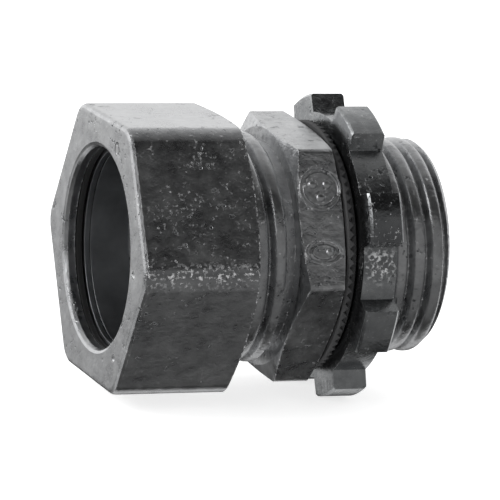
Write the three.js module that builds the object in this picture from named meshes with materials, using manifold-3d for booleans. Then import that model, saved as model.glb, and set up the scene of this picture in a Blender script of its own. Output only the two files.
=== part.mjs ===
// Compression connector for half-inch thin-wall conduit, with its box locknut.
// Millimetres, +Z up. The axis runs along +X: the conduit goes in at the nut's mouth on the -X side
// and the threaded nipple points to +X. Stations count along the axis from the nut's mouth, and the
// whole fitting is then centred on the origin. Angles run from +Z towards -Y, right-handed about +X.
import * as THREE from 'three';
import { mergeVertices } from 'three/addons/utils/BufferGeometryUtils.js';
import Module from 'manifold-3d';

const wasm = await Module();
wasm.setup();

// Driving dimensions
const conduitRadius = 8.97;
const conduitClearance = 0.15;
const threadPitch = 25.4 / 14;
const threadDepth = 0.8;
const threadClearance = 0.25;
const stackGap = 0.1;

const lipThickness = 1.15;
const mouthClearance = 0.43;
const mouthChamfer = 0.45;
const nutLength = 11.5;
const nutWall = 1.385;
const nutCornerRadius = 2.3;
const nutFrontBevel = 0.7;
const nutRearChamfer = 0.45;
const nutTurn = 30;

const sealThickness = 0.65;
const sealInset = 0.05;
const washerThickness = 0.5;
const washerOverlap = 0.3;
const ringLength = 3.8;
const ringWall = 0.73;
const ringEdge = 0.15;
const ringSlit = 1.2;
const ringNose = 0.4;

const neckWall = 0.98;
const neckLength = 10.04;
const neckLeadIn = 0.8;
const neckCrestOffset = 0.25;
const coneLength = 2;
const socketDepth = 13;
const reliefWidth = 0.9;
const reliefDepth = 0.1;

const flangeThickness = 4.37;
const flangeStep = 0.475;
const flangeCornerRadius = 0.6;
const flangeChamfer = 0.5;
const flangeFaceInset = 0.12;
const flangeTurn = 35.3;

const throatRadius = 7.4;
const linerWall = 0.95;
const linerClearance = 0.1;
const linerDepth = 7.8;
const linerFlare = 0.5;
const throatStep = 0.25;
const nippleWall = 0.95;
const nippleLength = 11.3;
const nippleEndChamfer = 0.9;
const nippleEndDrop = 0.6;

const gasketThickness = 1.2;
const gasketClearance = 0.15;
const gasketWidth = 1.5;

const locknutThickness = 3.3;
const locknutWall = 2.15;
const lugHeight = 1.8;
const lugCount = 8;
const lugAngle = 18;
const lugDraft = 1.5;
const lugTurn = 22.4;
const locknutBevel = 0.25;

// Surface quality
const roundSteps = 40;
const cornerSteps = 4;
const spare = 1;

// Radii that follow from the driving dimensions
const socketRadius = conduitRadius + conduitClearance;
const neckRoot = socketRadius + neckWall;
const neckCrest = neckRoot + threadDepth;
const mouthRadius = conduitRadius + mouthClearance;
const nutFlat = neckCrest + threadClearance + nutWall;
const nutBore = neckRoot + threadClearance;
const stackRadius = nutBore - 2 * stackGap;
const ringRadius = socketRadius + ringWall;
const coneRadius = neckRoot - ringEdge;
const flangeFlat = neckCrest + flangeStep;
const linerRadius = throatRadius + linerWall;
const linerBore = linerRadius + linerClearance;
const nippleRoot = linerBore + nippleWall;
const nippleCrest = nippleRoot + threadDepth;
const locknutMinor = nippleRoot + threadClearance;
const locknutMajor = nippleCrest + threadClearance;
const locknutRoot = locknutMajor + locknutWall;
const lugRadius = locknutRoot + lugHeight;

// Stations that follow from the driving dimensions
const sealStart = lipThickness + stackGap;
const washerStart = sealStart + sealThickness + stackGap;
const ringStart = washerStart + washerThickness + stackGap;
const ringEnd = ringStart + ringLength;
const neckStart = ringEnd - ringNose;
const flangeStart = neckStart + neckLength;
const flangeEnd = flangeStart + flangeThickness;
const nippleEnd = flangeEnd + nippleLength;
const socketEnd = neckStart + socketDepth;
const linerStart = nippleEnd - linerDepth;
const gasketStart = flangeEnd + stackGap;
const gasketEnd = gasketStart + gasketThickness;
const locknutStart = gasketEnd + stackGap;
const locknutEnd = locknutStart + locknutThickness;

const neckCrestStation = flangeStart - neckCrestOffset;

const radians = THREE.MathUtils.degToRad;

// A point of a cross-section, as its y and z
function polar(radius, angle) {
  return new THREE.Vector2(-radius * Math.sin(angle), radius * Math.cos(angle));
}

function toSolid(geometry) {
  geometry.deleteAttribute('normal');
  geometry.deleteAttribute('uv');
  const merged = mergeVertices(geometry, 1e-4);
  const vertProperties = new Float32Array(merged.attributes.position.array);
  const triVerts = new Uint32Array(merged.index.array);
  return new wasm.Manifold(new wasm.Mesh({ numProp: 3, vertProperties, triVerts }));
}

function toGeometry(solid) {
  const { numProp, vertProperties, triVerts } = solid.getMesh();
  const geometry = new THREE.BufferGeometry();
  const points = new THREE.InterleavedBuffer(vertProperties, numProp);
  geometry.setAttribute('position', new THREE.InterleavedBufferAttribute(points, 3, 0));
  geometry.setIndex(new THREE.BufferAttribute(triVerts, 1));
  return geometry;
}

// A ring turned about the X axis from a closed profile of [station, radius] points, which runs
// towards +X along the bore and back along the outside
function turned(profile) {
  const closed = [...profile, profile[0]].reverse();
  const points = closed.map(([station, radius]) => new THREE.Vector2(radius, station));
  const geometry = new THREE.LatheGeometry(points, roundSteps, Math.PI / 2);
  geometry.rotateZ(-Math.PI / 2);
  return toSolid(geometry);
}

// A plain tube about the X axis
function tube(innerRadius, outerRadius, from, to) {
  return turned([[from, innerRadius], [to, innerRadius], [to, outerRadius], [from, outerRadius]]);
}

// A prism along X from an outline of y and z points, with an optional bevel at both ends
function prism(outline, from, to, bevel = 0) {
  const geometry = new THREE.ExtrudeGeometry(new THREE.Shape(outline), {
    depth: to - from - 2 * bevel,
    bevelEnabled: bevel > 0,
    bevelThickness: bevel,
    bevelSize: bevel,
    bevelOffset: -bevel,
    bevelSegments: 1,
  });
  const yAxis = new THREE.Vector3(0, 1, 0);
  const zAxis = new THREE.Vector3(0, 0, 1);
  const xAxis = new THREE.Vector3(1, 0, 0);
  geometry.applyMatrix4(new THREE.Matrix4().makeBasis(yAxis, zAxis, xAxis));
  geometry.translate(from + bevel, 0, 0);
  return toSolid(geometry);
}

// How far a hexagon's rounded corners reach from the axis
function cornerReach(flat, cornerRadius) {
  return (flat - cornerRadius) / Math.cos(Math.PI / 6) + cornerRadius;
}

// A hexagon with rounded corners, its first corner turned from +Z
function hexagon(flat, cornerRadius, turn) {
  const sixth = Math.PI / 3;
  const centreRadius = (flat - cornerRadius) / Math.cos(sixth / 2);
  const outline = [];
  for (let corner = 0; corner < 6; corner += 1) {
    const angle = radians(turn) + corner * sixth;
    const centre = polar(centreRadius, angle);
    for (let step = 0; step <= cornerSteps; step += 1) {
      const facing = angle + (step / cornerSteps - 0.5) * sixth;
      outline.push(polar(cornerRadius, facing).add(centre));
    }
  }
  return outline;
}

// The locknut's outline: a round body with evenly spaced lugs whose sides slope
function luggedOutline() {
  const outline = [];
  const pitchAngle = (2 * Math.PI) / lugCount;
  const lugHalf = radians(lugAngle / 2);
  const footHalf = lugHalf + radians(lugDraft);
  const valleySteps = 4;
  const topSteps = 2;
  for (let lug = 0; lug < lugCount; lug += 1) {
    const centre = radians(lugTurn) + lug * pitchAngle;
    for (let step = 0; step <= topSteps; step += 1) {
      outline.push(polar(lugRadius, centre + lugHalf * ((2 * step) / topSteps - 1)));
    }
    const valley = pitchAngle - 2 * footHalf;
    for (let step = 0; step <= valleySteps; step += 1) {
      outline.push(polar(locknutRoot, centre + footHalf + (valley * step) / valleySteps));
    }
  }
  return outline;
}

// A rod with a right-hand thread that covers the stretch between two stations. The middle of a
// crest passes crestStation straight above the axis. Its ends lie outside the stretch.
function threadedRod(rootRadius, crestRadius, from, to, crestStation) {
  const section = [[-0.4, rootRadius], [-0.15, crestRadius], [0.15, crestRadius], [0.4, rootRadius]];
  const count = section.length;
  const last = count - 1;
  const firstTurn = Math.floor((from - crestStation) / threadPitch) - 1;
  const lastTurn = Math.ceil((to - crestStation) / threadPitch) + 1;
  const steps = (lastTurn - firstTurn) * roundSteps;
  const positions = [];
  for (let step = 0; step <= steps; step += 1) {
    const turns = firstTurn + step / roundSteps;
    for (const [offset, radius] of section) {
      const { x: y, y: z } = polar(radius, ((step % roundSteps) / roundSteps) * 2 * Math.PI);
      positions.push(crestStation + (turns + offset) * threadPitch, y, z);
    }
  }
  const at = (step, point) => step * count + point;
  const triangles = [];
  const quad = (a, b, c, d) => triangles.push(a, b, c, a, c, d);
  for (let step = 0; step < steps; step += 1) {
    for (let point = 0; point < last; point += 1) {
      quad(at(step, point), at(step + 1, point), at(step + 1, point + 1), at(step, point + 1));
    }
  }
  for (let step = 0; step < steps - roundSteps; step += 1) {
    const next = step + roundSteps;
    quad(at(step, last), at(step + 1, last), at(next + 1, 0), at(next, 0));
  }
  const cap = (loop, station, reversed) => {
    const centre = positions.length / 3;
    positions.push(station, 0, 0);
    loop.forEach((vertex, place) => {
      const following = loop[(place + 1) % loop.length];
      if (reversed) triangles.push(centre, following, vertex);
      else triangles.push(centre, vertex, following);
    });
  };
  const startLoop = [];
  const endLoop = [];
  for (let step = 0; step <= roundSteps; step += 1) {
    startLoop.push(at(step, 0));
    endLoop.push(at(steps - roundSteps + step, last));
  }
  for (let point = last; point > 0; point -= 1) {
    startLoop.push(at(0, point));
    endLoop.push(at(steps, point - 1));
  }
  cap(startLoop, positions[at(0, 0) * 3], true);
  cap(endLoop, positions[at(steps, last) * 3], false);
  const geometry = new THREE.BufferGeometry();
  geometry.setAttribute('position', new THREE.Float32BufferAttribute(positions, 3));
  geometry.setIndex(triangles);
  return toSolid(geometry);
}

// The connector body: threaded neck, hexagonal flange and threaded nipple around one bore
function connectorBody() {
  const throatBore = throatRadius + throatStep;
  const flangeFace = flangeFlat - flangeFaceInset;
  const flangeReach = cornerReach(flangeFlat, flangeCornerRadius);
  const flangeOuter = flangeReach + spare;
  const chamferRun = (flangeChamfer * (flangeOuter - flangeFace)) / (flangeReach - flangeFace);
  const envelope = turned([
    [neckStart, coneRadius],
    [neckStart + coneLength, socketRadius],
    [socketEnd, socketRadius],
    [socketEnd, throatBore],
    [linerStart - linerClearance, throatBore],
    [linerStart - linerClearance, linerBore],
    [nippleEnd, linerBore],
    [nippleEnd, nippleCrest - nippleEndDrop],
    [nippleEnd - nippleEndChamfer, nippleCrest + stackGap],
    [flangeEnd + reliefWidth, nippleCrest + stackGap],
    [flangeEnd + reliefWidth, nippleRoot - reliefDepth],
    [flangeEnd, nippleRoot - reliefDepth],
    [flangeEnd, flangeFace],
    [flangeEnd - chamferRun, flangeOuter],
    [flangeStart + chamferRun, flangeOuter],
    [flangeStart, flangeFace],
    [flangeStart, neckRoot - reliefDepth],
    [flangeStart - reliefWidth, neckRoot - reliefDepth],
    [flangeStart - reliefWidth, neckCrest + stackGap],
    [neckStart + neckLeadIn, neckCrest + stackGap],
    [neckStart, neckRoot],
  ]);
  const neck = threadedRod(neckRoot, neckCrest, neckStart, flangeStart, neckCrestStation);
  const nipple = threadedRod(nippleRoot, nippleCrest, flangeEnd, nippleEnd, nippleEnd);
  const flange = prism(hexagon(flangeFlat, flangeCornerRadius, flangeTurn), flangeStart, flangeEnd);
  const middle = (flangeStart + flangeEnd) / 2;
  const neckPart = neck.intersect(tube(throatRadius, neckCrest + spare, neckStart, middle));
  const nipplePart = nipple.intersect(tube(throatRadius, nippleCrest + spare, middle, nippleEnd));
  return neckPart.add(flange).add(nipplePart).intersect(envelope);
}

// The compression nut: a hexagon with a lip at its mouth and a thread behind the ring's chamber
function compressionNut() {
  const reach = cornerReach(nutFlat, nutCornerRadius);
  const outer = reach + spare;
  const rearRun = (nutRearChamfer * (outer - nutFlat)) / (reach - nutFlat);
  const envelope = turned([
    [0, mouthRadius + mouthChamfer],
    [mouthChamfer, mouthRadius],
    [lipThickness, mouthRadius],
    [lipThickness, nutBore],
    [nutLength, nutBore],
    [nutLength, nutFlat],
    [nutLength - rearRun, outer],
    [0, outer],
  ]);
  const outline = hexagon(nutFlat, nutCornerRadius, nutTurn);
  const blank = prism(outline, 0, nutLength + 2 * nutFrontBevel, nutFrontBevel);
  const threadStart = neckStart - neckLeadIn;
  const major = neckCrest + threadClearance;
  const rod = threadedRod(nutBore, major, threadStart, nutLength, neckCrestStation);
  const thread = rod.intersect(tube(socketRadius, major + spare, threadStart, nutLength + spare));
  return blank.intersect(envelope).subtract(thread);
}

// The rubber seal behind the nut's lip
function glandSeal() {
  return tube(mouthRadius + sealInset, stackRadius, sealStart, sealStart + sealThickness);
}

// The flat washer that keeps the split ring from dragging on the seal
function slipWasher() {
  const inner = mouthRadius + sealInset - washerOverlap;
  return tube(inner, stackRadius, washerStart, washerStart + washerThickness);
}

// The split ring that grips the conduit, bevelled at both ends
function compressionRing() {
  const bevelRun = ((ringWall - ringEdge) * coneLength) / (coneRadius - socketRadius);
  const ring = turned([
    [ringStart, socketRadius],
    [ringEnd, socketRadius],
    [ringEnd, socketRadius + ringEdge],
    [ringEnd - bevelRun, ringRadius],
    [ringStart + bevelRun, ringRadius],
    [ringStart, socketRadius + ringEdge],
  ]);
  const slit = new THREE.BoxGeometry(ringLength + spare, ringSlit, 2 * ringWall + spare);
  slit.translate((ringStart + ringEnd) / 2, 0, -socketRadius);
  return ring.subtract(toSolid(slit));
}

// The insulating liner in the nipple, flared at the wires' side
function insulatingThroat() {
  return turned([
    [linerStart, throatRadius],
    [nippleEnd - 2 * linerFlare, throatRadius],
    [nippleEnd, throatRadius + linerFlare],
    [nippleEnd, linerRadius],
    [linerStart, linerRadius],
  ]);
}

// The sealing gasket that lies against the flange
function boxGasket() {
  const inner = nippleCrest + gasketClearance;
  return tube(inner, inner + gasketWidth, gasketStart, gasketEnd);
}

// The locknut: a flat lugged ring whose lug tips are bevelled on both faces
function locknut() {
  const rim = lugRadius - locknutBevel;
  const top = rim + spare;
  const countersink = locknutMajor + stackGap;
  const sinkRun = countersink - locknutMinor;
  const envelope = turned([
    [locknutStart, countersink],
    [locknutStart + sinkRun, locknutMinor],
    [locknutEnd - sinkRun, locknutMinor],
    [locknutEnd, countersink],
    [locknutEnd, rim],
    [locknutEnd - spare, top],
    [locknutStart + spare, top],
    [locknutStart, rim],
  ]);
  const rod = threadedRod(locknutMinor, locknutMajor, locknutStart, locknutEnd, nippleEnd);
  return prism(luggedOutline(), locknutStart, locknutEnd).intersect(envelope).subtract(rod);
}

const castZinc = { color: 0x8d8f91, roughness: 0.45, metalness: 1 };
const platedSteel = { color: 0xb4b6b8, roughness: 0.35, metalness: 1 };
const blackRubber = { color: 0x1c1c1e, roughness: 0.85, metalness: 0 };
const greyNylon = { color: 0x3a3d42, roughness: 0.5, metalness: 0 };

const fitting = new THREE.Group();

function addPiece(name, solid, finish) {
  const mesh = new THREE.Mesh(toGeometry(solid), new THREE.MeshStandardMaterial(finish));
  mesh.name = name;
  fitting.add(mesh);
}

addPiece('connector_body', connectorBody(), castZinc);
addPiece('compression_nut', compressionNut(), castZinc);
addPiece('gland_seal', glandSeal(), blackRubber);
addPiece('slip_washer', slipWasher(), platedSteel);
addPiece('compression_ring', compressionRing(), platedSteel);
addPiece('insulating_throat', insulatingThroat(), greyNylon);
addPiece('box_gasket', boxGasket(), blackRubber);
addPiece('locknut', locknut(), castZinc);

fitting.position.x = -nippleEnd / 2;

export default fitting;
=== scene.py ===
import math
import bpy
import bmesh
from mathutils import Matrix, Vector


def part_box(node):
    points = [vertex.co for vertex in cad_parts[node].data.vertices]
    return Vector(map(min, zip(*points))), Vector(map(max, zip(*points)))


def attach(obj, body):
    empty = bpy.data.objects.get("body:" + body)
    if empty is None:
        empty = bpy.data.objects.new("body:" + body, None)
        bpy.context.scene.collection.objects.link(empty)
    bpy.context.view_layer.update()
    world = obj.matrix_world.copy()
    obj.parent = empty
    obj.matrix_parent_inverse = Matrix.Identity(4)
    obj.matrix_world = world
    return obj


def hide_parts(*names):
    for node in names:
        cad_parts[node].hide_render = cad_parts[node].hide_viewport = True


# Half-inch compression connector for thin-wall conduit. The axis is X, the conduit's mouth is at -X
# and the nipple points to +X. Angles on a section are counted from +Z towards -Y.
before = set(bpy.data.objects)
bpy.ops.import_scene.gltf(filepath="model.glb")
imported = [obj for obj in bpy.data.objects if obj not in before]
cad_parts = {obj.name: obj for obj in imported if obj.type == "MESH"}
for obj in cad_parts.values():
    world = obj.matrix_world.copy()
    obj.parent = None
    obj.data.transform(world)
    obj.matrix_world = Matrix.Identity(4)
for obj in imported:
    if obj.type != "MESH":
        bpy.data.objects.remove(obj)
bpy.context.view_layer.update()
mm = 0.001
roundSteps = 144
threadPitch = 25.4 / 14 * mm

nutLow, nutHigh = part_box("compression_nut")
bodyLow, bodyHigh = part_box("connector_body")
lockLow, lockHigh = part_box("locknut")
gasketLow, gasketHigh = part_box("box_gasket")
sealLow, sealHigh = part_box("gland_seal")
washerLow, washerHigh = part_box("slip_washer")
ringLow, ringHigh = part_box("compression_ring")
linerLow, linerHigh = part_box("insulating_throat")
print("frame loaded", len(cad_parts))


def deselectAll():
    if bpy.context.object and bpy.context.object.mode != 'OBJECT':
        bpy.ops.object.mode_set(mode='OBJECT')
    bpy.ops.object.select_all(action='DESELECT')


def pick(piece):
    deselectAll()
    piece.select_set(True)
    bpy.context.view_layer.objects.active = piece


# the object goes to the origin, with its place in its mesh
def settle(piece, name):
    pick(piece)
    bpy.ops.object.transform_apply(location=True, rotation=True, scale=True)
    piece.name = name
    piece.data.name = name
    return piece


def applyModifier(piece, kind, **settings):
    pick(piece)
    made = piece.modifiers.new(kind.title(), kind)
    for key, value in settings.items():
        setattr(made, key, value)
    bpy.ops.object.modifier_apply(modifier=made.name)


# joins, cuts or intersects with another solid, which is used up
def combine(piece, tool, how):
    applyModifier(piece, 'BOOLEAN', operation=how, solver='MANIFOLD', object=tool)
    bpy.data.objects.remove(tool)


def onSection(radius, angle):
    return Vector((0, -radius * math.sin(angle), radius * math.cos(angle)))


# faces, edges or points picked in edit mode by a test on each
def choose(piece, mode, test):
    bpy.ops.mesh.select_mode(type=mode)
    bpy.ops.mesh.select_all(action='DESELECT')
    mesh = bmesh.from_edit_mesh(piece.data)
    for part in {'VERT': mesh.verts, 'EDGE': mesh.edges, 'FACE': mesh.faces}[mode]:
        part.select_set(bool(test(part)))
    bmesh.update_edit_mesh(piece.data)


# a ring pushed and scaled from point to point of a closed profile of (station, radius)
def turnedRing(name, profile, steps=roundSteps):
    deselectAll()
    station, radius = profile[0]
    bpy.ops.mesh.primitive_circle_add(vertices=steps, radius=radius, location=(station, 0, 0),
                                      rotation=(0, math.pi / 2, 0))
    ring = settle(bpy.context.object, name)
    bpy.ops.object.mode_set(mode='EDIT')
    bpy.ops.mesh.select_mode(type='VERT')
    bpy.ops.mesh.select_all(action='SELECT')
    for nextStation, nextRadius in profile[1:] + profile[:1]:
        bpy.ops.mesh.extrude_region_move(TRANSFORM_OT_translate={"value": (nextStation - station, 0, 0)})
        grow = nextRadius / radius
        bpy.ops.transform.resize(value=(1, grow, grow), center_override=(nextStation, 0, 0))
        station, radius = nextStation, nextRadius
    bpy.ops.mesh.select_all(action='SELECT')
    bpy.ops.mesh.remove_doubles(threshold=1e-7)
    bpy.ops.mesh.normals_make_consistent(inside=False)
    bpy.ops.object.mode_set(mode='OBJECT')
    return ring


# points of a rounded corner between two straight stretches of a profile
def roundedCorner(before, corner, after, radius, steps=4):
    corner = Vector(corner)
    toBefore = (Vector(before) - corner).normalized()
    toAfter = (Vector(after) - corner).normalized()
    start, end = corner + toBefore * radius, corner + toAfter * radius
    points = []
    for step in range(steps + 1):
        t = step / steps
        points.append(tuple(start * (1 - t) ** 2 + corner * 2 * t * (1 - t) + end * t ** 2))
    return points


# every corner of a closed profile rounded by the radius given with it
def softened(profile):
    points = []
    for place, (station, radius, soft) in enumerate(profile):
        before = profile[place - 1][:2]
        after = profile[(place + 1) % len(profile)][:2]
        if soft:
            points += roundedCorner(before, (station, radius), after, soft)
        else:
            points.append((station, radius))
    return points


# a rod with a right-hand thread: one tooth section screwed round the axis, then cut to length
def threadedRod(name, root, crest, low, high, crestStation):
    deselectAll()
    firstTurn = math.floor((low - crestStation) / threadPitch) - 1
    turns = math.ceil((high - crestStation) / threadPitch) + 1 - firstTurn
    start = crestStation + (firstTurn - 0.5) * threadPitch
    depth = crest - root
    # shares of the pitch and of the depth: narrow root, flank, broad rounded crest, flank, root
    section = [(0.0, 0.0), (0.03, 0.0), (0.06, 0.08), (0.15, 0.62), (0.2, 0.8), (0.27, 0.92), (0.37, 0.985),
               (0.5, 1.0), (0.63, 0.985), (0.73, 0.92), (0.8, 0.8), (0.85, 0.62), (0.94, 0.08), (0.97, 0.0),
               (1.0, 0.0)]
    bpy.ops.mesh.primitive_plane_add(size=threadPitch, location=(start, 0, root))
    rod = settle(bpy.context.object, name)
    bpy.ops.object.mode_set(mode='EDIT')
    bpy.ops.mesh.select_mode(type='VERT')
    bpy.ops.mesh.select_all(action='SELECT')
    bpy.ops.mesh.merge(type='CENTER')
    along, up = section[0]
    for nextAlong, nextUp in section[1:]:
        step = ((nextAlong - along) * threadPitch, 0, (nextUp - up) * depth)
        bpy.ops.mesh.extrude_vertices_move(TRANSFORM_OT_translate={"value": step})
        along, up = nextAlong, nextUp
    bpy.ops.object.mode_set(mode='OBJECT')
    applyModifier(rod, 'SCREW', axis='X', angle=2 * math.pi, screw_offset=threadPitch, iterations=turns,
                  steps=roundSteps, render_steps=roundSteps, use_merge_vertices=False)
    bpy.ops.object.mode_set(mode='EDIT')
    bpy.ops.mesh.select_all(action='SELECT')
    bpy.ops.mesh.remove_doubles(threshold=2e-6)
    for station, side in ((low, 1), (high, -1)):
        bpy.ops.mesh.select_all(action='SELECT')
        bpy.ops.mesh.bisect(plane_co=(station, 0, 0), plane_no=(side, 0, 0), use_fill=True, clear_inner=True,
                            threshold=1e-7)
    bpy.ops.mesh.select_all(action='SELECT')
    bpy.ops.mesh.normals_make_consistent(inside=False)
    bpy.ops.object.mode_set(mode='OBJECT')
    return rod


# a six-sided bar with rounded corners, its first corner turned from +Z
def hexagonBar(name, flat, cornerRadius, turn, low, high):
    deselectAll()
    lying = Matrix.Rotation(turn + math.pi / 2, 3, 'X') @ Matrix.Rotation(math.pi / 2, 3, 'Y')
    bpy.ops.mesh.primitive_cylinder_add(vertices=6, radius=flat / math.cos(math.pi / 6), depth=high - low,
                                        location=((low + high) / 2, 0, 0), rotation=lying.to_euler())
    bar = settle(bpy.context.object, name)
    bpy.ops.object.mode_set(mode='EDIT')
    choose(bar, 'EDGE', lambda edge: abs(edge.verts[0].co.x - edge.verts[1].co.x) > 0.5 * (high - low))
    bpy.ops.mesh.bevel(offset=cornerRadius * math.tan(math.pi / 6), segments=10)
    bpy.ops.object.mode_set(mode='OBJECT')
    return bar


def smoothed(piece, angle=32):
    pick(piece)
    bpy.ops.object.shade_smooth_by_angle(angle=math.radians(angle))
    applyModifier(piece, 'WEIGHTED_NORMAL', keep_sharp=True, weight=80)
    return piece


nut = {
    "flat": nutHigh.z,
    "cornerRadius": 2.3 * mm,
    "turn": math.radians(30),
    "frontBevel": 0.7 * mm,
    "mouthRadius": 9.4 * mm,
    "mouthChamfer": 0.45 * mm,
    "lip": 1.15 * mm,
    "bore": 10.35 * mm,
    "threadMajor": 11.15 * mm,
    "threadStart": 5.2 * mm,
    "rearChamfer": 0.45 * mm,
    "edge": 0.12 * mm,
}


def cornerReach(flat, cornerRadius):
    return (flat - cornerRadius) / math.cos(math.pi / 6) + cornerRadius


def makeCompressionNut():
    low, high = nutLow.x, nutHigh.x
    size = nut
    blank = hexagonBar("compression_nut_casting", size["flat"], size["cornerRadius"], size["turn"],
                       low, high + mm)
    # the mouth's end face keeps a soft bevel all round
    bpy.ops.object.mode_set(mode='EDIT')
    choose(blank, 'EDGE', lambda edge: all(v.co.x < low + 1e-6 for v in edge.verts))
    bpy.ops.mesh.bevel(offset=size["frontBevel"], segments=4, profile=0.6)
    bpy.ops.object.mode_set(mode='OBJECT')
    reach = cornerReach(size["flat"], size["cornerRadius"])
    outer = reach + mm
    rearRun = size["rearChamfer"] * (outer - size["flat"]) / (reach - size["flat"])
    mouth, chamfer = size["mouthRadius"], size["mouthChamfer"]
    envelope = turnedRing("nutEnvelope", [
        (low, mouth + chamfer),
        (low + 0.3 * chamfer, mouth + 0.4 * chamfer),
        (low + chamfer, mouth),
        (low + size["lip"], mouth),
        (low + size["lip"], size["bore"]),
        (high, size["bore"]),
        (high, size["flat"]),
        (high - rearRun, outer),
        (low - mm, outer),
        (low - mm, mouth + chamfer),
    ])
    combine(blank, envelope, 'INTERSECT')
    applyModifier(blank, 'BEVEL', width=size["edge"], segments=2, limit_method='ANGLE',
                  angle_limit=math.radians(19), use_clamp_overlap=True)
    rod = threadedRod("nutThread", size["bore"], size["threadMajor"], low + size["threadStart"], high + mm,
                      neckCrestStation)
    combine(blank, rod, 'DIFFERENCE')
    addNutMarks(blank)
    return smoothed(blank)


connector = {
    "neckRoot": 10.1 * mm,
    "neckCrest": 10.9 * mm,
    "neckLeadIn": 0.8 * mm,
    "neckLength": 10.04 * mm,
    "crestBeforeFlange": 0.25 * mm,
    "coneLength": 2 * mm,
    "coneRadius": 9.95 * mm,
    "flangeThickness": 4.37 * mm,
    "flangeFlat": 11.375 * mm,
    "flangeCornerRadius": 0.6 * mm,
    "flangeTurn": math.radians(35.3),
    "flangeChamfer": 0.5 * mm,
    "flangeFaceInset": 0.12 * mm,
    "flangeEdge": 0.1 * mm,
    "nippleRoot": 9.4 * mm,
    "nippleCrest": 10.2 * mm,
    "endChamfer": 0.9 * mm,
    "endDrop": 0.6 * mm,
    "endSoft": 0.12 * mm,
    "endRise": 0.08 * mm,
    "endFall": 0.05 * mm,
    "reliefWidth": 0.9 * mm,
    "reliefDepth": 0.1 * mm,
    "reliefRun": 0.3 * mm,
    "socket": 9.12 * mm,
    "socketDepth": 13 * mm,
    "throat": 7.65 * mm,
    "throatLead": 0.3 * mm,
    "linerSeat": 8.45 * mm,
    "linerGap": 0.1 * mm,
}
flangeLow = bodyLow.x + connector["neckLength"]
flangeHigh = flangeLow + connector["flangeThickness"]
neckCrestStation = flangeLow - connector["crestBeforeFlange"]


def makeConnectorBody():
    low, high, left, right = bodyLow.x, bodyHigh.x, flangeLow, flangeHigh
    size = connector
    middle = (left + right) / 2
    hidden, over = 0.2 * mm, 0.1 * mm  # how far the shapes reach into and past one another
    waste, within = 5 * mm, 3 * mm  # radii inside what is bored out at the end
    block = hexagonBar("connector_body_casting", size["flangeFlat"], size["flangeCornerRadius"],
                       size["flangeTurn"], left, right)
    face = size["flangeFlat"] - size["flangeFaceInset"]
    reach = cornerReach(size["flangeFlat"], size["flangeCornerRadius"])
    outer = reach + mm
    run = size["flangeChamfer"] * (outer - face) / (reach - face)
    shoulder = turnedRing("flangeEnvelope", [
        (left, waste), (left, face), (left + run, outer), (right - run, outer), (right, face), (right, waste),
    ])
    combine(block, shoulder, 'INTERSECT')
    applyModifier(block, 'BEVEL', width=size["flangeEdge"], segments=2, limit_method='ANGLE',
                  angle_limit=math.radians(14), use_clamp_overlap=True)
    root, crest = size["neckRoot"], size["neckCrest"]
    relief = root - size["reliefDepth"]
    neckRod = threadedRod("neckThread", root, crest, low, middle - hidden, neckCrestStation)
    neckShape = turnedRing("neckShape", [
        (low, within),
        (low, root),
        (low + size["neckLeadIn"], crest + over),
        (left - size["reliefWidth"] - size["reliefRun"], crest + over),
        (left - size["reliefWidth"], relief),
        (middle, relief),
        (middle, within),
    ])
    combine(neckRod, neckShape, 'INTERSECT')
    root, crest = size["nippleRoot"], size["nippleCrest"]
    relief = root - size["reliefDepth"]
    nippleRod = threadedRod("nippleThread", root, crest, middle + hidden, high, high)
    nippleShape = turnedRing("nippleShape", [
        (middle, within),
        (middle, relief),
        (right + size["reliefWidth"], relief),
        (right + size["reliefWidth"] + size["reliefRun"], crest + over),
        (high - size["endChamfer"], crest + over),
        (high - size["endSoft"], crest - size["endDrop"] + size["endRise"]),
        (high, crest - size["endDrop"] - size["endFall"]),
        (high, within),
    ])
    combine(nippleRod, nippleShape, 'INTERSECT')
    combine(block, neckRod, 'UNION')
    combine(block, nippleRod, 'UNION')
    seat = linerLow.x - size["linerGap"]
    stop = low + size["socketDepth"]
    hollow = turnedRing("boreHollow", [
        (low - mm, mm), (low - mm, size["coneRadius"]), (low, size["coneRadius"]),
        (low + size["coneLength"], size["socket"]), (stop, size["socket"]),
        (stop, size["throat"] + size["throatLead"]), (stop + size["throatLead"], size["throat"]),
        (seat, size["throat"]), (seat, size["linerSeat"]), (high + mm, size["linerSeat"]),
        (high + mm, mm),
    ])
    combine(block, hollow, 'DIFFERENCE')
    core = turnedRing("boreCore", [
        (low - mm, 0.01 * mm), (low - mm, 6 * mm), (high + mm, 6 * mm), (high + mm, 0.01 * mm),
    ])
    combine(block, core, 'DIFFERENCE')
    return block


# generic foundry marks: a ring with three pips and an oval with one on the flange, small ones on the nut
marks = {
    "facetAngle": math.radians(65.3),
    "line": 0.2 * mm,
    "ringPlace": (18.31 * mm, -2.86 * mm),
    "ringRadius": 1.72 * mm,
    "pipSpread": 0.82 * mm,
    "pipRadius": 0.45 * mm,
    "ovalPlace": (18.18 * mm, 3.12 * mm),
    "ovalLength": 1.45 * mm,
    "ovalHalfWidth": 0.86 * mm,
    "ovalPipPlace": 0.55 * mm,
    "ovalPipRadius": 0.4 * mm,
    "nutRings": [(11.1 * mm, 23)],
    "nutRingRadius": 0.55 * mm,
    "nutRingLine": 0.13 * mm,
    "nutDimples": [(10.75 * mm, 90.8), (11.2 * mm, 143)],
    "dimpleRadius": 0.42 * mm,
}


# a round or oval line on a surface, raised or sunk
def addBead(piece, centre, across, outward, radius, stretch, line, how='UNION'):
    deselectAll()
    along = across.cross(outward)
    lay = Matrix((along, across, outward)).transposed()
    bpy.ops.mesh.primitive_torus_add(location=centre, rotation=lay.to_euler(), major_segments=48,
                                     minor_segments=10, major_radius=radius, minor_radius=line)
    bead = bpy.context.object
    bead.scale = (stretch, 1, 0.9)
    settle(bead, "bead")
    combine(piece, bead, how)


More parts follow.
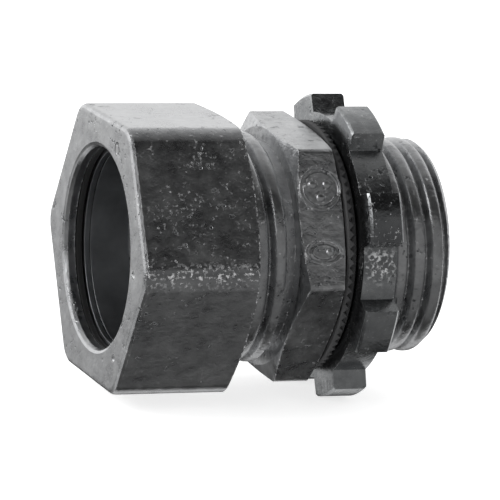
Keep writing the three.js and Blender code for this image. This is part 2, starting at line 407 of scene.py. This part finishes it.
def addPip(piece, centre, outward, radius, flatness=0.55, how='UNION'):
    deselectAll()
    lay = outward.to_track_quat('Z', 'Y')
    bpy.ops.mesh.primitive_uv_sphere_add(segments=20, ring_count=12, radius=radius, location=centre,
                                         rotation=lay.to_euler())
    pip = bpy.context.object
    pip.scale = (1, 1, flatness)
    settle(pip, "pip")
    combine(piece, pip, how)


def addFlangeMarks(casting):
    angle, line = marks["facetAngle"], marks["line"]
    outward = onSection(1, angle)
    across = Vector((0, -math.cos(angle), -math.sin(angle)))

    def onFacet(station, side):
        return Vector((nutLow.x + station, 0, 0)) + outward * connector["flangeFlat"] + across * side

    station, side = marks["ringPlace"]
    radius = marks["ringRadius"]
    addBead(casting, onFacet(station, side), across, outward, radius, 1.0, line, 'DIFFERENCE')
    addBead(casting, onFacet(station, side), across, outward, radius + 1.4 * line, 1.0, 0.6 * line)
    for turn in (90, 210, 330):
        swing = math.radians(turn)
        spot = onFacet(station + marks["pipSpread"] * math.cos(swing),
                       side + marks["pipSpread"] * math.sin(swing))
        addPip(casting, spot, outward, marks["pipRadius"])
    station, side = marks["ovalPlace"]
    length, width = marks["ovalLength"], marks["ovalHalfWidth"]
    addBead(casting, onFacet(station, side), across, outward, width, length / width, line, 'DIFFERENCE')
    addBead(casting, onFacet(station, side), across, outward, width + 1.1 * line,
            (length + 1.3 * line) / (width + 1.1 * line), 0.55 * line)
    addPip(casting, onFacet(station + marks["ovalPipPlace"], side), outward, marks["ovalPipRadius"])


def addNutMarks(casting):
    outward, up = Vector((-1, 0, 0)), Vector((0, 0, 1))
    for radius, angle in marks["nutRings"]:
        centre = onSection(radius, math.radians(angle)) + Vector((nutLow.x, 0, 0))
        addBead(casting, centre, up, outward, marks["nutRingRadius"], 1.0, marks["nutRingLine"], 'DIFFERENCE')
    for radius, angle in marks["nutDimples"]:
        centre = onSection(radius, math.radians(angle)) + Vector((nutLow.x, 0, 0))
        addPip(casting, centre, outward, marks["dimpleRadius"], 0.5, 'DIFFERENCE')


lock = {
    "root": 12.6 * mm,
    "lugTop": 14.4 * mm,
    "lugs": 8,
    "firstLug": math.radians(22.4),
    "narrowing": 0.94,
    "minor": 9.65 * mm,
    "major": 10.45 * mm,
    "tipBevel": 0.25 * mm,
    "edge": 0.24 * mm,
}


def makeLocknut():
    low, high = lockLow.x, lockHigh.x
    middle = (low + high) / 2
    size = lock
    deselectAll()
    bpy.ops.mesh.primitive_cylinder_add(vertices=16 * size["lugs"], radius=size["root"], depth=high - low,
                                        location=(middle, 0, 0), rotation=(0, math.pi / 2, 0))
    casting = settle(bpy.context.object, "locknut_casting")
    bpy.ops.object.mode_set(mode='EDIT')
    pitch = 2 * math.pi / size["lugs"]

    def isLugFoot(centre):
        away = math.hypot(centre.y, centre.z)
        return (abs(centre.x - middle) < 0.1 * mm and abs(away - size["root"]) < 0.1 * mm
                and centre.z > away * math.cos(pitch / 4))

    # each lug is drawn out at the top, then the whole ring is turned on by one lug
    for _ in range(size["lugs"]):
        choose(casting, 'FACE', lambda face: isLugFoot(face.calc_center_median()))
        rise = (0, 0, size["lugTop"] - size["root"])
        bpy.ops.mesh.extrude_region_move(TRANSFORM_OT_translate={"value": rise})
        bpy.ops.transform.resize(value=(1, size["narrowing"], 1), center_override=(middle, 0, 0))
        bpy.ops.mesh.select_all(action='SELECT')
        bpy.ops.transform.rotate(value=pitch, orient_axis='X', center_override=(middle, 0, 0))
    # with no window this turns the other way, so the angle is negative
    bpy.ops.transform.rotate(value=-size["firstLug"], orient_axis='X', center_override=(middle, 0, 0))
    bpy.ops.object.mode_set(mode='OBJECT')
    rim, outer = size["lugTop"] - size["tipBevel"], size["lugTop"] - size["tipBevel"] + mm
    sink = size["major"] + 0.1 * mm
    sinkRun = sink - size["minor"]
    envelope = turnedRing("locknutEnvelope", [
        (low, sink), (low + sinkRun, size["minor"]), (high - sinkRun, size["minor"]), (high, sink),
        (high, rim), (high - mm, outer), (low + mm, outer), (low, rim),
    ])
    combine(casting, envelope, 'INTERSECT')
    applyModifier(casting, 'BEVEL', width=size["edge"], segments=3, limit_method='ANGLE',
                  angle_limit=math.radians(35), use_clamp_overlap=True)
    over = 0.1 * mm
    rod = threadedRod("locknutThread", size["minor"], size["major"], low - over, high + over, bodyHigh.x)
    combine(casting, rod, 'DIFFERENCE')
    return smoothed(casting)


seal = {"inner": 9.45 * mm, "soft": 0.18 * mm}
washer = {"inner": 9.15 * mm, "soft": 0.04 * mm}


def makePlainRing(name, low, high, inner, soft):
    outer = high.z
    return smoothed(turnedRing(name, softened([
        (low.x, inner, soft), (high.x, inner, soft), (high.x, outer, soft), (low.x, outer, soft),
    ])))


gasket = {
    "inner": 10.35 * mm,
    "lip": 11.1 * mm,
    "step": 0.72 * mm,
    "ribValley": 0.25 * mm,
    "ribs": 84,
    "holeSoft": 0.1 * mm,
    "lipSoft": 0.12 * mm,
    "ribSoft": 0.08 * mm,
    "rimSoft": 0.15 * mm,
}


# the box gasket is stepped: its thin lip seals, and ribs round its rim grip the box wall
def makeGasket():
    low, high = gasketLow.x, gasketHigh.x
    outer, inner, lip = gasketHigh.z, gasket["inner"], gasket["lip"]
    step, valley = low + gasket["step"], low + gasket["ribValley"]
    hole, thin, rib, rim = gasket["holeSoft"], gasket["lipSoft"], gasket["ribSoft"], gasket["rimSoft"]
    count = 2 * gasket["ribs"]
    ring = turnedRing("gasket_moulding", [
        (low, inner + hole), (low + hole, inner), (high - thin, inner), (high, inner + thin),
        (high, lip - thin), (high - thin, lip), (step, lip), (step, outer - rib),
        (step - rib, outer), (low + rim, outer), (low, outer - rim),
    ], steps=count)
    bpy.ops.object.mode_set(mode='EDIT')
    choose(ring, 'VERT', lambda v: step - 0.1 * mm < v.co.x < step + 0.01 * mm
           and math.hypot(v.co.y, v.co.z) > lip + 0.05 * mm
           and round(math.atan2(v.co.y, v.co.z) / (2 * math.pi) * count) % 2)
    bpy.ops.transform.translate(value=(valley - step, 0, 0))
    bpy.ops.object.mode_set(mode='OBJECT')
    return smoothed(ring, 40)


splitRing = {
    "inner": 9.12 * mm,
    "edge": 0.15 * mm,
    "bevel": 1.4 * mm,
    "slit": 1.2 * mm,
    "boreSoft": 0.03 * mm,
    "endSoft": 0.04 * mm,
    "shoulderSoft": 0.2 * mm,
    "slitSoft": 0.05 * mm,
}


# bevelled at both ends as steeply as the body's cone, so that it can be driven in
def makeSplitRing():
    low, high = ringLow.x, ringHigh.x
    outer, inner = ringHigh.z, splitRing["inner"]
    edge, bevel = inner + splitRing["edge"], splitRing["bevel"]
    bore, end, shoulder = splitRing["boreSoft"], splitRing["endSoft"], splitRing["shoulderSoft"]
    ring = turnedRing("compression_ring_turned", softened([
        (low, inner, bore), (high, inner, bore), (high, edge, end),
        (high - bevel, outer, shoulder), (low + bevel, outer, shoulder), (low, edge, end),
    ]))
    deselectAll()
    bpy.ops.mesh.primitive_cube_add(size=1, location=((low + high) / 2, 0, -(inner + outer) / 2),
                                    scale=(high - low + 2 * mm, splitRing["slit"], 2 * mm))
    slit = settle(bpy.context.object, "slit")
    combine(ring, slit, 'DIFFERENCE')
    applyModifier(ring, 'BEVEL', width=splitRing["slitSoft"], segments=2, limit_method='ANGLE',
                  angle_limit=math.radians(50), use_clamp_overlap=True)
    return smoothed(ring)


liner = {
    "inner": 7.4 * mm,
    "flare": 0.5 * mm,
    "flareStretch": 2.2,
    "innerSoft": 0.12 * mm,
    "lipRound": 0.06 * mm,
    "rimSoft": 0.08 * mm,
    "rearSoft": 0.2 * mm,
}


def makeLiner():
    low, high = linerLow.x, linerHigh.x
    outer, inner, flare = linerHigh.z, liner["inner"], liner["flare"]
    soft, lip, rim, rear = liner["innerSoft"], liner["lipRound"], liner["rimSoft"], liner["rearSoft"]
    mouth = [(high - flare * math.cos(math.radians(step)) * liner["flareStretch"],
              inner + flare * (1 - math.sin(math.radians(90 - step)))) for step in (0, 20, 40, 60, 80)]
    return smoothed(turnedRing("insulating_throat_moulding", [
        (low, inner + soft), (low + soft, inner), *mouth, (high - lip / 3, inner + flare),
        (high, inner + flare + lip), (high, outer - rim), (high - rim, outer),
        (low + rear, outer), (low, outer - rear),
    ]))


def toLinear(code):
    channels = []
    for place in (1, 3, 5):
        value = int(code[place:place + 2], 16) / 255
        channels.append(value / 12.92 if value <= 0.04045 else ((value + 0.055) / 1.055) ** 2.4)
    return (*channels, 1.0)


# adds one node: settings go to its sockets or its fields, links come from other nodes' outputs
def addNode(tree, kind, settings=None, links=None):
    node = tree.nodes.new("ShaderNode" + kind)
    for key, value in (settings or {}).items():
        if isinstance(key, int) or key in node.inputs:
            node.inputs[key].default_value = value
        else:
            setattr(node, key, value)
    for socket, source in (links or {}).items():
        tree.links.new(source, node.inputs[socket])
    return node


def startMaterial(name):
    finish = bpy.data.materials.new(name)
    finish.use_nodes = True
    tree = finish.node_tree
    shader = tree.nodes["Principled BSDF"]
    place = addNode(tree, "TexCoord").outputs["Object"]
    return finish, tree, shader, place


def perMetre(millimetres):
    return 1000 / millimetres


# soft-edged spots of one size, in millimetres: the share of the noise above a threshold
def spots(tree, place, size, low, high, detail=2.0):
    noise = addNode(tree, "TexNoise", {"Scale": perMetre(size), "Detail": detail}, {"Vector": place})
    return addNode(tree, "MapRange", {"From Min": low, "From Max": high},
                   {"Value": noise.outputs["Fac"]}).outputs[0]


def product(tree, first, second):
    return addNode(tree, "Math", {"operation": 'MULTIPLY'}, {0: first, 1: second}).outputs[0]


# the cast skin's sizes in mm; spots have their size, where they begin and are full, and their detail
zinc = {
    "cloudSize": 4.5,
    "flowSize": 1.3,
    "flowShare": 0.45,
    "skinSize": 0.38,
    "grain": (0.36, 0.62, 0.75),
    "grainPatch": (2.6, 0.48, 0.58, 3.0),
    "pit": (0.62, 0.62, 0.7),
    "pitPatch": (3.4, 0.5, 0.6),
    # specks of a painted highlight, and how far round its place it reaches
    "highlightSpecks": (0.42, 0.48, 0.62, 3.0),
    "highlightReach": (2.4, 0.8),
    "wearSize": 0.34,
    "wearFade": 0.14,
    "proudFade": 0.6,
    "upperHalf": (-0.9, 0.5),
    "lowerWear": 0.12,
    "edgeRadius": 0.25,
    "edgeTurn": (0.997, 0.9),
    "flash": 0.5,
    "frontDarkening": 0.6,
    "darkenedFront": "#5d5e60",
    # painted shade with some grime in recesses: how far it reaches, its share and its grey
    "shadeAndGrimeReach": 1.1,
    "shadeAndGrimeShare": 0.2,
    "shadeAndGrime": "#4a4b4c",
    "tornMetallic": 0.4,
    "skinHeight": 0.05,
    "flowHeight": 0.12,
    "grainHeight": 0.065,
    "pitDepth": 0.06,
}


def tint(tree, share, under, code):
    return addNode(tree, "Mix", {"data_type": 'RGBA', 7: toLinear(code)}, {0: share, 6: under}).outputs[2]


def larger(tree, first, second):
    return addNode(tree, "Math", {"operation": 'MAXIMUM', "use_clamp": True}, {0: first, 1: second}).outputs[0]


# Die-cast zinc alloy, tumbled and handled: a dull grey skin with cold-flow ripples and pits, and pale specks,
# part torn grains and wear, part painted glints, on the upper half, on edges and on whatever stands proud
# towards -Y; recesses get painted shade.
def castZinc(name, look):
    finish, tree, shader, place = startMaterial(name)
    cloud = addNode(tree, "TexNoise", {"Scale": perMetre(zinc["cloudSize"]), "Detail": 6.0, "Roughness": 0.62},
                    {"Vector": place}).outputs["Fac"]
    flow = addNode(tree, "TexNoise", {"Scale": perMetre(zinc["flowSize"]), "Detail": 4.0, "Roughness": 0.6},
                   {"Vector": place}).outputs["Fac"]
    skin = addNode(tree, "TexNoise", {"Scale": perMetre(zinc["skinSize"]), "Detail": 3.0, "Roughness": 0.7},
                   {"Vector": place}).outputs["Fac"]
    mixed = addNode(tree, "Mix", {"data_type": 'FLOAT', 0: zinc["flowShare"]}, {2: cloud, 3: flow}).outputs[0]
    spread = addNode(tree, "SeparateXYZ", None, {0: place})
    bottom, top = zinc["upperHalf"]
    upper = addNode(tree, "MapRange", {"From Min": bottom * mm, "From Max": top * mm,
                                       "To Min": zinc["lowerWear"]}, {"Value": spread.outputs["Z"]}).outputs[0]
    # torn grains, drawn as pale specks that also stand in for glints (painted glints), thinned out towards the
    # bottom
    grains = product(tree, spots(tree, place, *zinc["grain"]), spots(tree, place, *zinc["grainPatch"]))
    grains = product(tree, grains, upper)
    pit = product(tree, spots(tree, place, *zinc["pit"]), spots(tree, place, *zinc["pitPatch"]))
    # pale specks, part wear and part painted glints: on sharp edges, and on what stands proud towards -Y on
    # the upper half
    rounded = addNode(tree, "Bevel", {"samples": 6, "Radius": zinc["edgeRadius"] * mm})
    surface = addNode(tree, "NewGeometry")
    agree = addNode(tree, "VectorMath", {"operation": 'DOT_PRODUCT'},
                    {0: rounded.outputs[0], 1: surface.outputs["Normal"]})
    flat, sharp = zinc["edgeTurn"]
    edge = addNode(tree, "MapRange", {"From Min": flat, "From Max": sharp},
                   {"Value": agree.outputs["Value"]}).outputs[0]
    start = -look["proud"]
    jutting = addNode(tree, "MapRange", {"From Min": start, "From Max": start - zinc["proudFade"] * mm},
                      {"Value": spread.outputs["Y"]}).outputs[0]
    proud = product(tree, jutting, upper)
    begin = look["wearFrom"]
    wearAndGlints = product(tree, larger(tree, edge, proud),
                   spots(tree, place, zinc["wearSize"], begin, begin + zinc["wearFade"], 3.0))
    for paintedHighlightAt in look["paintedHighlightAt"]:  # painted highlight: pale specks round each place given
        far, full = (reach * mm for reach in zinc["highlightReach"])
        centre = [part * mm for part in paintedHighlightAt]
        away = addNode(tree, "VectorMath", {"operation": 'DISTANCE', 1: centre}, {0: place})
        near = addNode(tree, "MapRange", {"From Min": far, "From Max": full}, {"Value": away.outputs["Value"]})
        highlightShare = product(tree, near.outputs[0], spots(tree, place, *zinc["highlightSpecks"]))
        wearAndGlints = larger(tree, wearAndGlints, highlightShare)
    tone = addNode(tree, "ValToRGB", None, {"Fac": mixed})
    for stop, (position, code) in zip(tone.color_ramp.elements, ((0.36, look["dark"]), (0.64, look["light"]))):
        stop.position = position
        stop.color = toLinear(code)
    flash = addNode(tree, "Math", {"operation": 'MULTIPLY', 1: zinc["flash"]}, {0: grains}).outputs[0]
    bright = larger(tree, flash, wearAndGlints)
    # the colour is painted darker on what stands proud towards -Y on the upper half
    darkenedFront = addNode(tree, "Math", {"operation": 'MULTIPLY', 1: zinc["frontDarkening"]}, {0: proud}).outputs[0]
    base = tint(tree, darkenedFront, tone.outputs["Color"], zinc["darkenedFront"])
    pitted = tint(tree, pit, tint(tree, bright, base, look["glintAndWear"]), look["oxide"])
    # painted shade, with some grime: the colour is darkened in thread roots and inner corners by ambient
    # occlusion
    hollow = addNode(tree, "AmbientOcclusion", {"samples": 6, "Distance": zinc["shadeAndGrimeReach"] * mm})
    shadeAndGrime = addNode(tree, "MapRange", {"From Min": 0.75, "From Max": 0.3, "To Max": zinc["shadeAndGrimeShare"]},
                    {"Value": hollow.outputs["AO"]})
    colour = tint(tree, shadeAndGrime.outputs[0], pitted, zinc["shadeAndGrime"])
    rough = addNode(tree, "MapRange", {"From Min": 0.35, "From Max": 0.65, "To Min": look["smooth"],
                                       "To Max": look["rough"]}, {"Value": mixed}).outputs[0]
    # the pale specks, torn grains and painted glints, are less metallic so that they scatter light; the rest
    # mirrors it
    metal = addNode(tree, "MapRange", {"To Min": 1.0, "To Max": zinc["tornMetallic"]},
                    {"Value": bright}).outputs[0]
    normal = None
    for height, strength, depth, sunk in (
            (skin, look["grain"], zinc["skinHeight"], False),
            (flow, look["ripple"], zinc["flowHeight"], False),
            (bright, look["beads"], zinc["grainHeight"], False),
            (pit, look["beads"], zinc["pitDepth"], True)):
        links = {"Height": height, "Normal": normal} if normal else {"Height": height}
        normal = addNode(tree, "Bump", {"Strength": strength, "Distance": depth * mm, "invert": sunk},
                         links).outputs[0]
    tree.links.new(colour, shader.inputs["Base Color"])
    tree.links.new(metal, shader.inputs["Metallic"])
    tree.links.new(rough, shader.inputs["Roughness"])
    tree.links.new(normal, shader.inputs["Normal"])
    return finish


# Turned steel, zinc-plated or oiled: a bright grey with faint tool lines round the axis. The lines are
# 0.12 mm apart, about twice as coarse as a lathe leaves them, so that they show.
def platedSteel(name, dark, light):
    finish, tree, shader, place = startMaterial(name)
    stretched = addNode(tree, "Mapping", {"Scale": (1.0, 0.04, 0.04)}, {"Vector": place})
    lines = addNode(tree, "TexNoise", {"Scale": perMetre(0.12), "Detail": 3.0},
                    {"Vector": stretched.outputs[0]})
    blotch = addNode(tree, "TexNoise", {"Scale": perMetre(1.6), "Detail": 3.0}, {"Vector": place})
    tone = addNode(tree, "ValToRGB", None, {"Fac": blotch.outputs["Fac"]})
    tone.color_ramp.elements[0].color = toLinear(dark)
    tone.color_ramp.elements[1].color = toLinear(light)
    rough = addNode(tree, "MapRange", {"To Min": 0.24, "To Max": 0.42}, {"Value": blotch.outputs["Fac"]})
    bump = addNode(tree, "Bump", {"Strength": 0.3, "Distance": 0.02 * mm}, {"Height": lines.outputs["Fac"]})
    shader.inputs["Metallic"].default_value = 1.0
    tree.links.new(tone.outputs["Color"], shader.inputs["Base Color"])
    tree.links.new(rough.outputs[0], shader.inputs["Roughness"])
    tree.links.new(bump.outputs[0], shader.inputs["Normal"])
    return finish


# Moulded nylon and rubber: a dark body with a matt mould texture, drawn a few times coarser than the
# real one, which is under a tenth of a millimetre, so that it shows.
def moulded(name, dark, light, roughness, grainSize, grain, ior):
    finish, tree, shader, place = startMaterial(name)
    blotch = addNode(tree, "TexNoise", {"Scale": perMetre(2.2), "Detail": 4.0}, {"Vector": place})
    fine = addNode(tree, "TexNoise", {"Scale": perMetre(grainSize), "Detail": 2.0}, {"Vector": place})
    tone = addNode(tree, "ValToRGB", None, {"Fac": blotch.outputs["Fac"]})
    tone.color_ramp.elements[0].color = toLinear(dark)
    tone.color_ramp.elements[1].color = toLinear(light)
    rough = addNode(tree, "MapRange", {"To Min": roughness[0], "To Max": roughness[1]},
                    {"Value": blotch.outputs["Fac"]})
    bump = addNode(tree, "Bump", {"Strength": grain, "Distance": 0.03 * mm}, {"Height": fine.outputs["Fac"]})
    shader.inputs["IOR"].default_value = ior
    tree.links.new(tone.outputs["Color"], shader.inputs["Base Color"])
    tree.links.new(rough.outputs[0], shader.inputs["Roughness"])
    tree.links.new(bump.outputs[0], shader.inputs["Normal"])
    return finish


# the finished piece gets its name, its material and its place in the frame's table
def dress(piece, finish, body, node, name):
    pick(piece)
    piece.name = name
    piece.data.name = name
    piece.data.materials.clear()
    piece.data.materials.append(finish)
    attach(piece, body)
    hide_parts(node)
    print("made", name, len(piece.data.polygons))


# proud is where the pale-specked, darker front begins, in front of the axis; the last list holds places (x, y,
# z) in mm of painted highlights
bodyFinish = castZinc("dieCastZincBody", {
    "dark": "#a2a3a5", "light": "#d6d7d8", "glintAndWear": "#e4e5e5", "oxide": "#848688",
    "smooth": 0.24, "rough": 0.38, "grain": 0.6, "ripple": 0.8, "beads": 0.9,
    "proud": 12.4 * mm, "paintedHighlightAt": [], "wearFrom": 0.52,
})
nutFinish = castZinc("dieCastZincNut", {
    "dark": "#a6a7a9", "light": "#d2d3d4", "glintAndWear": "#e6e6e7", "oxide": "#848688",
    "smooth": 0.24, "rough": 0.36, "grain": 0.42, "ripple": 0.35, "beads": 1.0,
    "proud": 13.5 * mm, "paintedHighlightAt": [], "wearFrom": 0.52,
})
# the locknut has a painted highlight: pale specks in the valley between two lugs that faces the front
lockFinish = castZinc("dieCastZincLocknut", {
    "dark": "#929496", "light": "#bcbebf", "glintAndWear": "#cbcccd", "oxide": "#707274",
    "smooth": 0.2, "rough": 0.3, "grain": 0.35, "ripple": 0.45, "beads": 0.9,
    "proud": 12.1 * mm, "paintedHighlightAt": [(7.6, -12.6, 1.0)], "wearFrom": 0.62,
})
washerFinish = platedSteel("zincPlatedSteel", "#9a9ca0", "#c8cacc")
ringFinish = platedSteel("oiledSpringSteel", "#a8aaad", "#d4d6d8")
sealFinish = moulded("mouldedSealRubber", "#161616", "#242424", (0.5, 0.66), 0.3, 0.35, 1.52)
gasketFinish = moulded("mouldedGasketRubber", "#313132", "#424243", (0.55, 0.72), 0.35, 0.4, 1.52)
linerFinish = moulded("mouldedNylon", "#2a2a2b", "#363637", (0.34, 0.46), 0.4, 0.2, 1.53)
print("materials ready")

connectorBody = makeConnectorBody()
addFlangeMarks(connectorBody)
dress(smoothed(connectorBody), bodyFinish, "body", "connector_body", "body_casting")
dress(makeCompressionNut(), nutFinish, "nut", "compression_nut", "nut_casting")
dress(makeLocknut(), lockFinish, "locknut", "locknut", "locknut_casting")
dress(makeGasket(), gasketFinish, "gasket", "box_gasket", "box_gasket_ring")
dress(makePlainRing("seal", sealLow, sealHigh, seal["inner"], seal["soft"]),
      sealFinish, "gland", "gland_seal", "gland_seal_ring")
dress(makePlainRing("washer", washerLow, washerHigh, washer["inner"], washer["soft"]),
      washerFinish, "gland", "slip_washer", "slip_washer_disc")
dress(makeSplitRing(), ringFinish, "gland", "compression_ring", "compression_ring_split")
dress(makeLiner(), linerFinish, "body", "insulating_throat", "throat_liner")


studio = {
    "azimuth": math.radians(-21.4),
    "elevation": math.radians(12),
    "roll": math.radians(3.89),
    "distance": 0.4,
    "target": Vector((-0.000855, 0, 0)),
    "lens": 305.85,
    "slideRight": 0.345 * mm,
    "slideUp": -0.403 * mm,
    "floorHeight": lockLow.z,
    "floorSize": 6.0,
    "floorColour": "#f4f4f4",
    "floorLift": 0.76,
    "overhead": 1.15,
    "backdrop": "#fafafa",
    "sidePanel": 2.4,
    "rearPanel": 0.7,
}


def makeCamera():
    azimuth, elevation = studio["azimuth"], studio["elevation"]
    back = Vector((math.sin(azimuth) * math.cos(elevation), -math.cos(azimuth) * math.cos(elevation),
                   math.sin(elevation)))
    right = Vector((math.cos(azimuth), math.sin(azimuth), 0))
    up = back.cross(right)
    turn = Matrix((right, up, back)).transposed() @ Matrix.Rotation(studio["roll"], 3, 'Z')
    place = (studio["target"] + back * studio["distance"] + turn.col[0] * studio["slideRight"]
             + turn.col[1] * studio["slideUp"])
    deselectAll()
    bpy.ops.object.camera_add(location=place, rotation=turn.to_euler())
    camera = bpy.context.object
    camera.data.lens = studio["lens"]
    camera.data.sensor_width = 36
    camera.data.clip_start = 0.01
    bpy.context.scene.camera = camera


# what the metal sees round the axis: degrees from the back horizon over the top to the front, and its light
skyStops = [(0, 1.25), (20, 1.05), (45, 0.6), (58, 0.5), (73, 0.3), (90, 0.2), (103, 0.15), (114, 0.03),
            (137, 0.01), (149, 0.32), (160, 0.25), (180, 0.2), (189, 0.3), (198, 0.28), (212, 0.18),
            (230, 0.18), (250, 0.17), (260, 0.01), (278, 0.01), (288, 0.25), (298, 0.95), (309, 0.75),
            (321, 0.15), (331, 0.08), (340, 0.18), (349, 0.66), (360, 1.25)]
skyPeak = 1.25


def makeSky():
    world = bpy.data.worlds.new("studioSky")
    bpy.context.scene.world = world
    world.use_nodes = True
    tree = world.node_tree
    tree.nodes.clear()
    way = addNode(tree, "TexCoord").outputs["Generated"]
    parts = addNode(tree, "SeparateXYZ", None, {0: way})
    angle = addNode(tree, "Math", {"operation": 'ARCTAN2'}, {0: parts.outputs["Z"], 1: parts.outputs["Y"]})
    share = addNode(tree, "Math", {"operation": 'DIVIDE', 1: 2 * math.pi}, {0: angle.outputs[0]})
    wrapped = addNode(tree, "Math", {"operation": 'FRACT'}, {0: share.outputs[0]})
    ramp = addNode(tree, "ValToRGB", None, {"Fac": wrapped.outputs[0]})
    stops = ramp.color_ramp.elements
    while len(stops) > 1:
        stops.remove(stops[-1])
    stops[0].position = 0
    for place, (degrees, light) in enumerate(skyStops):
        stop = stops[0] if place == 0 else stops.new(degrees / 360)
        value = light / skyPeak
        stop.color = (value, value, value, 1)

    def between(axis, low, high):
        return addNode(tree, "MapRange", {"From Min": low, "From Max": high},
                       {"Value": parts.outputs[axis]}).outputs[0]

    # a soft panel off to the mouth's side, and a dimmer one behind the threaded end
    seen = ramp.outputs["Color"]
    for light, first, second in (
            (studio["sidePanel"], between("X", -0.6, -0.78), between("Z", 0.31, 0.41)),
            (studio["rearPanel"], between("X", 0.5, 0.7), between("Y", 0.05, 0.25))):
        seen = addNode(tree, "Mix", {"data_type": 'RGBA', 7: (light, light, light, 1)},
                       {0: product(tree, first, second), 6: seen}).outputs[2]
    studioLight = addNode(tree, "Background", {"Strength": skyPeak}, {"Color": seen})
    backdrop = addNode(tree, "Background", {"Color": toLinear(studio["backdrop"]), "Strength": 1.0})
    ray = addNode(tree, "LightPath")
    chosen = addNode(tree, "MixShader", None, {0: ray.outputs["Is Camera Ray"], 1: studioLight.outputs[0],
                                               2: backdrop.outputs[0]})
    addNode(tree, "OutputWorld", None, {"Surface": chosen.outputs[0]})


def makeFloor():
    deselectAll()
    bpy.ops.mesh.primitive_plane_add(size=studio["floorSize"], location=(0, 0, studio["floorHeight"]))
    floor = settle(bpy.context.object, "studio_floor")
    finish, _, shader, _ = startMaterial("paleStudioPaper")
    shader.inputs["Base Color"].default_value = toLinear(studio["floorColour"])
    shader.inputs["Roughness"].default_value = 0.9
    shader.inputs["Specular IOR Level"].default_value = 0.0
    shader.inputs["Emission Color"].default_value = toLinear(studio["floorColour"])
    shader.inputs["Emission Strength"].default_value = studio["floorLift"]
    floor.data.materials.append(finish)
    floor.visible_glossy = False  # the metal sees only the sky, and the paper hides none of it
    floor.visible_shadow = False
    bpy.ops.object.light_add(type='SUN', location=(0, 0, 0.5), rotation=(0, 0, 0))
    lamp = bpy.context.object
    lamp.name = "overheadSoftLight"
    lamp.data.energy = studio["overhead"]
    lamp.data.angle = math.radians(170)
    lamp.visible_glossy = False


makeCamera()
makeSky()
makeFloor()
bpy.context.scene.view_settings.view_transform = 'Standard'
print("studio ready")
